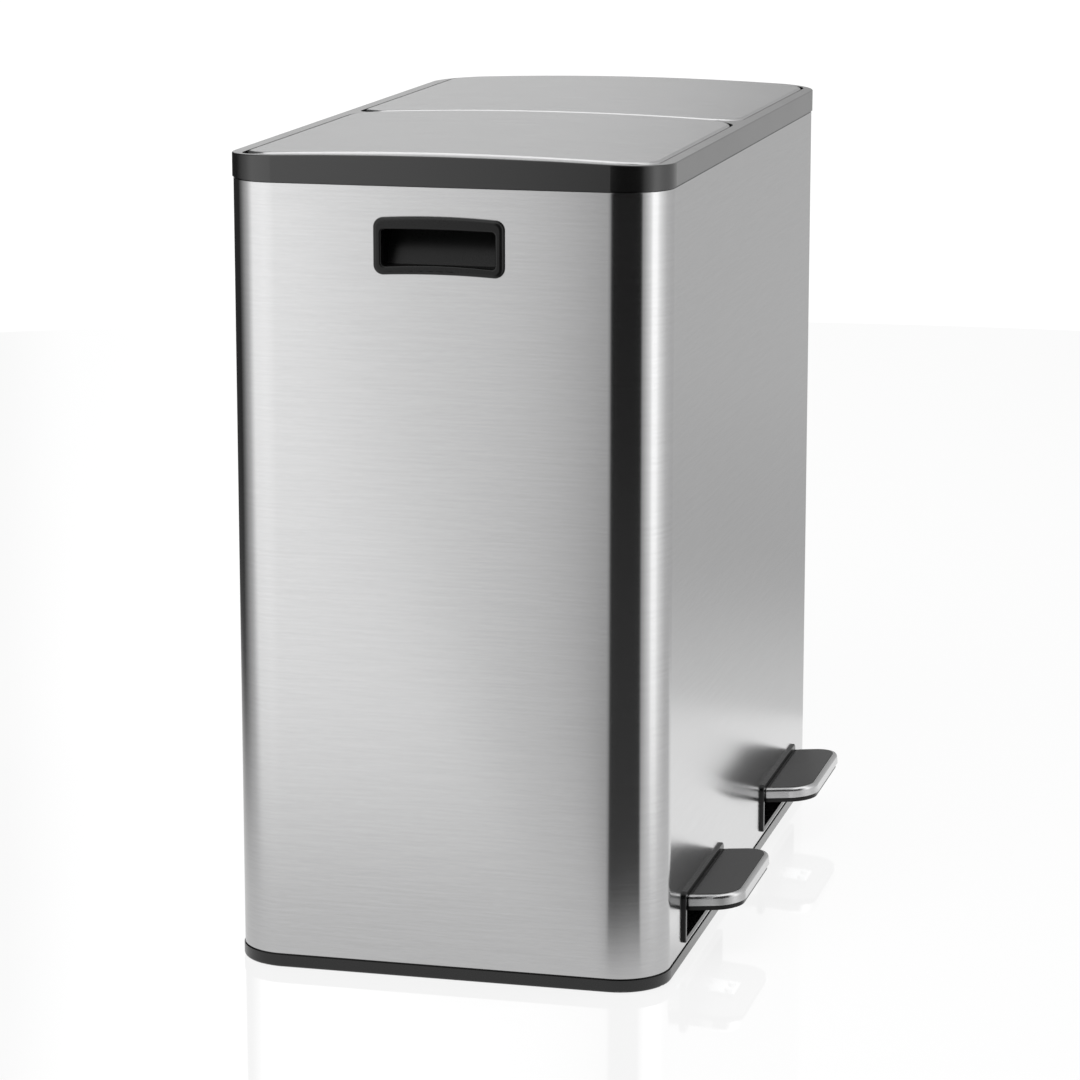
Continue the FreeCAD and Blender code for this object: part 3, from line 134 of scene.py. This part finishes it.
def brushed_steel(name, along, colour, roughness, anisotropy, smear, contrast=0.032, grain=1500.0,
                  run=110.0):
    """Brushed stainless steel.

    along names the two axes in which the grain runs and smear is the direction across it, in which
    reflections are drawn out. Fine short dashes and longer faint bands, both along the grain, tint
    the metal, vary its roughness and cut its bump. Broad soft patches stand for handling.
    """
    look = Finish(name)
    fine_scale = [run if axis in along else grain for axis in "xyz"]
    band_scale = [run / 6 if axis in along else grain / 3 for axis in "xyz"]
    fine = look.noise(fine_scale, 2.0, 0.6)
    bands = look.noise(band_scale, 2.0, 0.5)
    patches = look.noise((5.0, 5.0, 3.5), 2.0, 0.5)
    streak = look.span(look.add(fine, bands), 0.0, 1.0, 0.7, 1.3)
    low, high = grey(colour * (1 - contrast)), grey(colour * (1 + contrast))
    across = look.node("ShaderNodeCombineXYZ", dict(zip("XYZ", smear))).outputs[0]
    worn = look.span(patches, roughness - 0.01, roughness + 0.01)
    rough = look.add(worn, look.span(streak, -0.008, 0.008, 0.0, 1.0))
    bsdf = look.node("ShaderNodeBsdfPrincipled", {
        "Base Color": look.tint(streak, low, high), "Metallic": 1.0, "Roughness": rough,
        "Anisotropic": anisotropy, "Tangent": across,
        "Normal": look.bump(streak, 0.0000012)})
    return look.surface(bsdf.outputs[0])


def moulded_plastic(name, colour, roughness, specular=0.5, coat=0.0, grain=1400.0, depth=0.000004,
                    tint=0.25):
    """Moulded plastic: fine eroded grain in its bump, faint flow marks in its tone and gloss."""
    look = Finish(name)
    eroded = look.noise((grain, grain, grain), 2.0, 0.6)
    flow = look.noise((14.0, 14.0, 30.0), 4.0, 0.55, 0.6)
    dark = tuple(channel * (1 - tint) for channel in colour)
    light = tuple(channel * (1 + tint) for channel in colour)
    rough = look.add(look.span(flow, roughness - 0.02, roughness + 0.02),
                     look.span(eroded, -0.02, 0.02))
    bsdf = look.node("ShaderNodeBsdfPrincipled", {
        "Base Color": look.tint(flow, dark, light), "Roughness": rough,
        "Specular IOR Level": specular, "Coat Weight": coat, "Coat Roughness": roughness,
        "Normal": look.bump(eroded, depth)})
    return look.surface(bsdf.outputs[0])


def plated_steel(name):
    """Zinc-plated steel: a cool satin metal with small crystal patches and light scuffs."""
    look = Finish(name)
    cells = look.node("ShaderNodeTexVoronoi", {
        "Vector": look.place((260.0, 260.0, 260.0)), "Scale": 1.0}).outputs["Distance"]
    scuffs = look.noise((900.0, 60.0, 900.0), 3.0, 0.6)
    rough = look.add(look.span(cells, 0.27, 0.36, 0.0, 1.0), look.span(scuffs, -0.05, 0.06))
    bsdf = look.node("ShaderNodeBsdfPrincipled", {
        "Base Color": look.tint(cells, (0.53, 0.54, 0.56), (0.66, 0.67, 0.68)), "Metallic": 1.0,
        "Roughness": rough, "Normal": look.bump(scuffs, 0.000006)})
    return look.surface(bsdf.outputs[0])


def foot_rubber(name):
    """Soft rubber: matt, almost black, with a dusty bloom."""
    look = Finish(name)
    bloom = look.noise((90.0, 90.0, 90.0), 5.0, 0.6)
    skin = look.noise((2600.0, 2600.0, 2600.0), 2.0, 0.5)
    bsdf = look.node("ShaderNodeBsdfPrincipled", {
        "Base Color": look.tint(bloom, (0.012, 0.012, 0.012), (0.03, 0.03, 0.029)),
        "Roughness": look.span(bloom, 0.72, 0.9), "Specular IOR Level": 0.35,
        "Normal": look.bump(skin, 0.00002)})
    return look.surface(bsdf.outputs[0])


# --- finishes of the bin's pieces -----------------------------------------------------------------
STEEL = 0.60
ALONG_X, UPRIGHT = (1, 0, 0), (0, 0, 1)
body_steel = brushed_steel("brushed_body_steel", "xy", STEEL, 0.175, 0.88, UPRIGHT)
lid_steel = brushed_steel("brushed_lid_steel", "y", STEEL, 0.24, 0.80, ALONG_X, contrast=0.08)
pedal_steel = brushed_steel("brushed_pedal_steel", "xy", STEEL, 0.25, 0.60, UPRIGHT, contrast=0.05,
                            grain=2600.0, run=140.0)
fastener_steel = plated_steel("plated_fastener_steel")
rim_black = moulded_plastic("satin_rim_black", grey(0.004), 0.22, specular=0.4, coat=0.85)
trim_black = moulded_plastic("satin_trim_black", grey(0.004), 0.28, specular=0.28, coat=0.1)
base_black = moulded_plastic("satin_base_black", grey(0.004), 0.26, specular=0.4, coat=0.4)
pad_grey = moulded_plastic("pedal_pad_grey", grey(0.026), 0.40, specular=0.45, grain=900.0,
                           depth=0.00003)
liner_black = moulded_plastic("lid_liner_black", grey(0.02), 0.45, grain=1100.0, depth=0.00002)
bucket_grey = moulded_plastic("bucket_dark_grey", grey(0.035), 0.42, grain=1200.0, depth=0.00002)
inner_black = moulded_plastic("inner_black", grey(0.022), 0.5, specular=0.45, grain=900.0,
                              depth=0.00003)
rubber = foot_rubber("foot_rubber")

FINISHES = {
    "steel_body": body_steel, "steel_lid": lid_steel, "steel_pedal": pedal_steel,
    "plated_steel": fastener_steel, "black_rim": rim_black, "black_trim": trim_black,
    "black_base": base_black, "pedal_pad": pad_grey, "liner_black": liner_black,
    "bucket_plastic": bucket_grey, "inner_plastic": inner_black, "rubber": rubber,
}
slot_of = {part["node"]: part["material_slot"] for part in frame["record"]["subparts"]}
for name, piece in nodes.items():
    for slot in piece.material_slots:
        slot.material = FINISHES[slot_of[name]]


# --- steel body -----------------------------------------------------------------------------------
SHELL_CORNER = 0.040
CORNER_STEPS = 40
SHEET = 0.0007
SOFT_EDGE = 0.0006
SOFT_EDGE_STEPS = 6
EDGE_STRIP = 0.002
SHARP_ANGLE = math.radians(35)
ON_WALL = 1e-6
# Low and high corners of the openings, a little under the trim that covers their edges.
SLOT_HALF = 0.07195
SLOT_Z = (0.01855, 0.05495)
SLOT_MIDDLES = (-0.1595, 0.1595)
GRIP_HALF = 0.0479
GRIP_Z = (0.5495, 0.5867)


def straight(start, end, stops=()):
    """Places from start to end, with a narrow strip at both ends and a place at every stop."""
    way = 1 if end > start else -1
    inner = [start + way * EDGE_STRIP, end - way * EDGE_STRIP, *stops]
    return np.array([start, *sorted(inner, reverse=way < 0), end])


def body_outline(lo, hi, inset):
    """The body's plan drawn in by inset, from the left end of the pedal side round by the right.

    Four straights joined by quarter circles of SHELL_CORNER less inset, in CORNER_STEPS steps each.
    """
    r = SHELL_CORNER
    x0, x1, y0, y1 = lo.x + r, hi.x - r, lo.y + r, hi.y - r
    slots = [middle + side * SLOT_HALF for middle in SLOT_MIDDLES for side in (-1, 1)]
    middle_y = (lo.y + hi.y) / 2
    grips = [middle_y - GRIP_HALF, middle_y + GRIP_HALF]
    turn = np.radians(np.linspace(0, 90, CORNER_STEPS + 1))[1:-1]
    front, back = straight(x0, x1, slots), straight(x1, x0)
    right, left = straight(y0, y1, grips), straight(y1, y0, grips)

    def corner(x, y, start):
        return np.stack([x + (r - inset) * np.cos(turn + start),
                         y + (r - inset) * np.sin(turn + start)])

    return np.concatenate([
        np.stack([front, np.full(len(front), lo.y + inset)]), corner(x1, y0, -math.pi / 2),
        np.stack([np.full(len(right), hi.x - inset), right]), corner(x1, y1, 0),
        np.stack([back, np.full(len(back), hi.y - inset)]), corner(x0, y1, math.pi / 2),
        np.stack([np.full(len(left), lo.x + inset), left]), corner(x0, y0, math.pi)], 1)


def steel_body():
    """The folded steel body: its plan carried up a closed section.

    The section goes up outside, over an edge rounded by SOFT_EDGE, and down inside, one SHEET in.
    Quads within an opening are left out on both faces and their borders are joined by narrow walls.
    """
    lo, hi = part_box("steel_shell")
    levels = [lo.z, *SLOT_Z, *GRIP_Z]
    bend = np.radians(np.linspace(0, 90, SOFT_EDGE_STEPS + 1))
    inset = ([0.0] * len(levels) + list(SOFT_EDGE * (1 - np.cos(bend))) + [SHEET]
             + [SHEET] * len(levels))
    height = levels + list(hi.z - SOFT_EDGE * (1 - np.sin(bend))) + [hi.z] + levels[::-1]
    plan = np.stack([body_outline(lo, hi, step) for step in inset])
    rows, columns = plan.shape[0], plan.shape[2]
    upright = np.repeat(height, columns).reshape(rows, columns)
    points = np.stack([plan[:, 0], plan[:, 1], upright], -1)
    index = np.arange(rows * columns).reshape(rows, columns)
    east, north = np.roll(index, -1, 1), np.roll(index, -1, 0)
    quads = np.stack([index, east, np.roll(east, -1, 0), north], -1)
    keep = np.ones((rows, columns), bool)
    walls = []

    def wall(*borders):
        """Quads through four (row, columns) borders of an opening, taken in turn."""
        walls.append(np.stack([index[row, column] for row, column in borders], -1))

    middle = (points[0] + np.roll(points[0], -1, 0)) / 2
    on_pedal_side = middle[:, 1] < lo.y + ON_WALL
    on_end = abs(abs(middle[:, 0]) - hi.x) < ON_WALL
    # Row of levels where each opening starts, the wall it is in, its middles, half width and axis.
    for low_row, face, centres, half, axis in (
            (1, on_pedal_side, SLOT_MIDDLES, SLOT_HALF, 0),
            (3, on_end, ((lo.y + hi.y) / 2,), GRIP_HALF, 1)):
        inner_row = rows - 2 - low_row
        a, b, c, d = low_row, low_row + 1, inner_row, inner_row + 1
        for centre in centres:
            hole = face & (abs(middle[:, axis] - centre) < half)
            keep[low_row, hole] = False
            keep[inner_row, hole] = False
            spans = np.flatnonzero(hole)
            after = (spans + 1) % columns
            starts = spans[~hole[spans - 1]]
            stops = after[~hole[after]]
            wall((a, spans), (a, after), (d, after), (d, spans))
            wall((b, after), (b, spans), (c, spans), (c, after))
            wall((b, starts), (a, starts), (d, starts), (c, starts))
            wall((a, stops), (b, stops), (c, stops), (d, stops))
    faces = np.concatenate([quads[keep]] + walls)
    mesh = bpy.data.meshes.new("steel_body")
    mesh.from_pydata(points.reshape(-1, 3).tolist(), [], faces.tolist())
    form = bmesh.new()
    form.from_mesh(mesh)
    bmesh.ops.recalc_face_normals(form, faces=form.faces)
    form.to_mesh(mesh)
    form.free()
    mesh.shade_smooth()
    mesh.set_sharp_from_angle(angle=SHARP_ANGLE)
    piece = bpy.data.objects.new("steel_body", mesh)
    bpy.context.scene.collection.objects.link(piece)
    mesh.materials.append(body_steel)
    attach(piece, "root")
    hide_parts("steel_shell")


steel_body()


# --- studio ---------------------------------------------------------------------------------------
NEAR_CORNER = (-0.279, -0.108)
PEDAL_WALL_Y = -0.148
WALL_RADIUS = 3.0
WALL_HEIGHT = 4.5
CEILING_GLOW = 1.5
# Heading in degrees as seen from the bin's near corner, and how bright the wall is there.
WALL_GLOW = (
    (0, 0.42), (8, 0.47), (11, 0.58), (14, 0.65), (24, 0.72), (28, 0.60), (32, 0.03), (72, 0.03),
    (82, 0.20), (90, 0.40), (101, 0.66), (114, 1.30), (140, 1.36), (157, 1.30), (159, 1.08),
    (161, 0.94), (164, 0.86), (166, 0.72), (167.5, 0.48), (169, 0.20), (170.5, 0.015),
    (234, 0.015), (237, 0.40), (247, 0.76), (256, 1.10), (262, 1.62), (272, 1.60), (280, 1.20),
    (290, 0.95), (303, 0.72), (320, 0.62), (345, 0.55), (355, 0.52), (360, 0.42),
)
# How far from the bin the floor's own brightness gives way to the wall's, by heading.
FLOOR_REACH = ((0, 1.0), (155, 0.9), (167, 0.9), (170, 0.26), (233, 0.26), (240, 0.9), (360, 1.0))
FLOOR_NEAR = 0.74
# Between bin and wall the floor is dimmer by this share and brighter by this amount.
MIDWAY_DIP = 0.15
MIDWAY_HAZE = 0.035
MIDWAY_FADE = (1.2, 2.4)
# The bright sheet on the pedal side: its straight edge, softness, brightness and bounds.
SHEET_EDGE_X = 0.53
SHEET_EDGE_SOFT = 0.03
SHEET_GLOW = 0.96
SHEET_HEADINGS = (318, 334)
SHEET_START_X = (-0.24, -0.12)
# The floor's grid: even steps out to FLOOR_FINE, then wider and wider ones out to FLOOR_FAR.
FLOOR_FINE = 1.2
FLOOR_FAR = 14.0
FLOOR_MIRROR = 0.18
SOFT_AIR = 0.60


def smooth(value, start, end):
    """0 up to start, 1 from end on, and an even S curve between them."""
    t = np.clip((value - start) / (end - start), 0, 1)
    return t * t * (3 - 2 * t)


def heading_of(x, y):
    """Heading of (x, y) in degrees as seen from the near corner."""
    return np.degrees(np.arctan2(y - NEAR_CORNER[1], x - NEAR_CORNER[0])) % 360


def from_table(table, heading):
    """A value read from a table of (heading, value) stops, straight between them."""
    stops, levels = np.array(table).T
    return np.interp(heading, stops, levels)


def floor_glow(x, y):
    """Brightness of the floor as metal sees it.

    Beside the bin it is plain white paper. Further out it fades to the wall's level in the same
    heading, changed half way by MIDWAY_DIP and MIDWAY_HAZE. On the pedal side a bright sheet ends
    on a straight edge.
    """
    lo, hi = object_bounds()
    out_x = np.maximum(np.maximum(lo.x - x, x - hi.x), 0)
    out_y = np.maximum(np.maximum(PEDAL_WALL_Y - y, y - hi.y), 0)
    heading = heading_of(x, y)
    away = np.hypot(out_x, out_y)
    fade = smooth(away / from_table(FLOOR_REACH, heading), 0.05, 1.0)
    midway = 1 - smooth(away, *MIDWAY_FADE)
    far = from_table(WALL_GLOW, heading) * (1 - MIDWAY_DIP * midway) + MIDWAY_HAZE * midway
    plain = FLOOR_NEAR + (far - FLOOR_NEAR) * fade
    sheet = smooth(heading, *SHEET_HEADINGS) * (
        1 - smooth(x, SHEET_EDGE_X, SHEET_EDGE_X + SHEET_EDGE_SOFT))
    return plain + (SHEET_GLOW - plain) * sheet * smooth(x, *SHEET_START_X)


def grid_mesh(name, x, y, z, glow):
    """A surface through a grid of points (arrays of one shape), with glow kept at each point."""
    rows, columns = x.shape
    index = np.arange(rows * columns).reshape(rows, columns)
    quads = np.stack([index[:-1, :-1], index[:-1, 1:], index[1:, 1:], index[1:, :-1]], -1)
    mesh = bpy.data.meshes.new(name)
    mesh.from_pydata(np.stack([x, y, z], -1).reshape(-1, 3).tolist(), [],
                     quads.reshape(-1, 4).tolist())
    layer = mesh.attributes.new("glow", "FLOAT", "POINT")
    layer.data.foreach_set("value", glow.astype(np.float32).ravel())
    piece = bpy.data.objects.new(name, mesh)
    bpy.context.scene.collection.objects.link(piece)
    piece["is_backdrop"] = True
    return piece


def studio_wall():
    """A round wall of light panels and dark cloths under a lit ceiling, seen only in reflections.

    Points lie on a circle of WALL_RADIUS round the bin up to WALL_HEIGHT, then go in to the middle.
    """
    turn = np.radians(np.linspace(0, 360, 721))
    height = np.array([0.0, 0.5, 1.0, 1.0, 1.0]) * WALL_HEIGHT
    reach = np.array([1.0, 1.0, 1.0, 0.9, 0.01]) * WALL_RADIUS
    lit = np.array([0.0, 0.0, 0.0, 1.0, 1.0])
    x, z = np.cos(turn) * reach[:, None], np.broadcast_to(height[:, None], (5, 721))
    y, lit = np.sin(turn) * reach[:, None], np.broadcast_to(lit[:, None], (5, 721))
    glow = from_table(WALL_GLOW, heading_of(x, y))
    wall = grid_mesh("studio_wall", x, y, z, glow + (CEILING_GLOW - glow) * lit)
    look = Finish("wall_light")
    level = look.node("ShaderNodeAttribute", attribute_name="glow").outputs["Fac"]
    wall.data.materials.append(look.surface(
        look.node("ShaderNodeEmission", {"Strength": level}).outputs[0]))
    wall.visible_camera = False
    wall.visible_diffuse = False
    wall.visible_shadow = False
    wall.visible_transmission = False


def studio_floor():
    """A white floor: a fine square grid round the bin that widens evenly towards its far edges.

    It is white to the camera, keeps a soft shadow and a faint mirror image; metal sees its glow.
    """
    near = np.linspace(-FLOOR_FINE, FLOOR_FINE, 401)
    far = np.geomspace(FLOOR_FINE + 0.04, FLOOR_FAR, 40)
    line = np.concatenate([-far[::-1], near, far])
    x, y = np.meshgrid(line, line)
    floor = grid_mesh("studio_floor", x, y, 0 * x, floor_glow(x, y))
    look = Finish("floor_white")
    path = look.node("ShaderNodeLightPath").outputs
    paint = look.node("ShaderNodeBsdfDiffuse", {"Color": (0.10, 0.10, 0.10, 1)}).outputs[0]
    lift = look.node("ShaderNodeEmission", {"Strength": 1.01}).outputs[0]
    seen = look.node("ShaderNodeAddShader", {0: paint, 1: lift}).outputs[0]
    image = look.node("ShaderNodeBsdfGlossy", {"Color": (1, 1, 1, 1), "Roughness": 0.05}).outputs[0]
    seen = look.node("ShaderNodeMixShader", {0: FLOOR_MIRROR, 1: seen, 2: image}).outputs[0]
    glow = look.node("ShaderNodeAttribute", attribute_name="glow").outputs["Fac"]
    shine = look.node("ShaderNodeEmission", {"Strength": glow}).outputs[0]
    bounce = look.node("ShaderNodeBsdfDiffuse", {"Color": (0.8, 0.8, 0.8, 1)}).outputs[0]
    others = look.node("ShaderNodeMixShader", {0: path["Is Glossy Ray"], 1: bounce, 2: shine})
    floor.data.materials.append(look.surface(look.node("ShaderNodeMixShader", {
        0: path["Is Camera Ray"], 1: others.outputs[0], 2: seen}).outputs[0]))


def studio_air():
    """The world: white behind everything and in metal, a plain soft level on all else."""
    world = bpy.data.worlds.new("studio_air")
    bpy.context.scene.world = world
    world.use_nodes = True
    tree = world.node_tree
    back = tree.nodes["Background"]
    path = tree.nodes.new("ShaderNodeLightPath").outputs
    first = tree.nodes.new("ShaderNodeMath")
    first.operation = "MAXIMUM"
    second = tree.nodes.new("ShaderNodeMath")
    second.operation = "MAXIMUM"
    level = tree.nodes.new("ShaderNodeMapRange")
    tree.links.new(path["Is Camera Ray"], first.inputs[0])
    tree.links.new(path["Is Glossy Ray"], first.inputs[1])
    tree.links.new(first.outputs[0], second.inputs[0])
    tree.links.new(path["Is Transmission Ray"], second.inputs[1])
    tree.links.new(second.outputs[0], level.inputs["Value"])
    level.inputs["To Min"].default_value = SOFT_AIR
    level.inputs["To Max"].default_value = 1.0
    tree.links.new(level.outputs["Result"], back.inputs["Strength"])
    back.inputs["Color"].default_value = (1, 1, 1, 1)


def softbox(name, place, aim, width, height, power):
    """A rectangular lamp at place, turned towards aim."""
    light = bpy.data.lights.new(name, "AREA")
    light.shape = "RECTANGLE"
    light.size = width
    light.size_y = height
    light.energy = power
    lamp = bpy.data.objects.new(name, light)
    lamp.location = place
    direction = Vector(aim) - Vector(place)
    lamp.rotation_mode = "QUATERNION"
    lamp.rotation_quaternion = direction.to_track_quat("-Z", "Y")
    lamp.visible_glossy = False
    bpy.context.scene.collection.objects.link(lamp)


studio_wall()
studio_floor()
studio_air()
softbox("lamp_over_near_end", (-1.9, 0.2, 2.6), (0, 0, 0.4), 1.6, 1.6, 42)
softbox("lamp_pedal_side", (0.6, -2.4, 2.0), (0, 0, 0.3), 1.4, 1.4, 22)


# --- camera ---------------------------------------------------------------------------------------
def stand_camera(place, yaw, pitch, lens):
    """A camera at place, turned yaw degrees from +X towards +Y and pitch degrees up."""
    data = bpy.data.cameras.new("camera")
    data.lens = lens
    data.sensor_width = 36.0
    data.clip_end = 60.0
    camera = bpy.data.objects.new("camera", data)
    camera.location = place
    camera.rotation_euler = (math.radians(90 + pitch), 0, math.radians(yaw - 90))
    bpy.context.scene.collection.objects.link(camera)
    bpy.context.scene.camera = camera


stand_camera((-3.1458, -0.7619, 0.9698), 14.04, -12.0, 133.09)
bpy.context.scene.view_settings.view_transform = "Standard"
